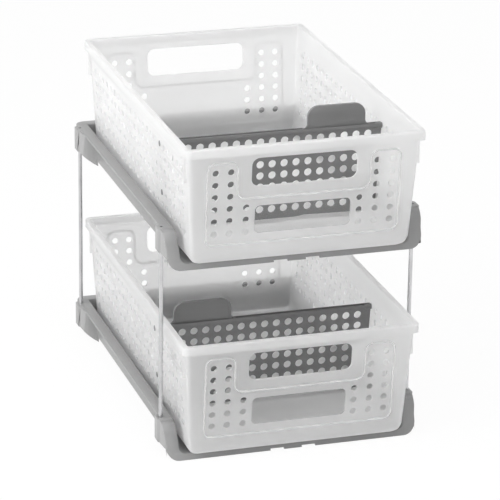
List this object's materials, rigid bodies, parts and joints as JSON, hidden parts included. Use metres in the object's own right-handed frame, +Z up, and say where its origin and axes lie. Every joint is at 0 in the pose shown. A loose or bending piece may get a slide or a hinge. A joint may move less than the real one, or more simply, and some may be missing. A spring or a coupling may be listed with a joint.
{
  "type": "pull out cabinet basket",
  "caption": "Two-tier cabinet organiser: perforated frosted baskets with dividers slide forward out of moulded grey trays joined by steel rods.",
  "frame": {"origin": "on the surface it stands on, at the middle of its width and depth with the baskets pushed in", "axes": "+Z up, -Y towards the front where the baskets slide out, +X to the right seen from the front"},
  "size_m": [0.262, 0.3874, 0.3228],
  "materials": {
    "tray_plastic": "satin moulded grey plastic with a fine grain",
    "post_steel": "bright plated steel rod",
    "basket_plastic": "frosted translucent polypropylene with a fine grain, clear and smooth at the windows",
    "divider_plastic": "satin dark grey moulded plastic"
  },
  "bodies": {
    "frame": {"lower_frame": "tray_plastic", "upper_frame": "tray_plastic", "post_front_left": "post_steel", "post_front_right": "post_steel", "post_back_left": "post_steel", "post_back_right": "post_steel"},
    "lower_basket": {"lower_basket": "basket_plastic", "lower_divider": "divider_plastic"},
    "upper_basket": {"upper_basket": "basket_plastic", "upper_divider": "divider_plastic"}
  },
  "joints": [
    {"name": "lower_basket_slide", "type": "slide", "parent": "frame", "child": "lower_basket", "axis": [0, -1, 0], "range_m": [0, 0.15]},
    {"name": "upper_basket_slide", "type": "slide", "parent": "frame", "child": "upper_basket", "axis": [0, -1, 0], "range_m": [0, 0.15]}
  ]
}
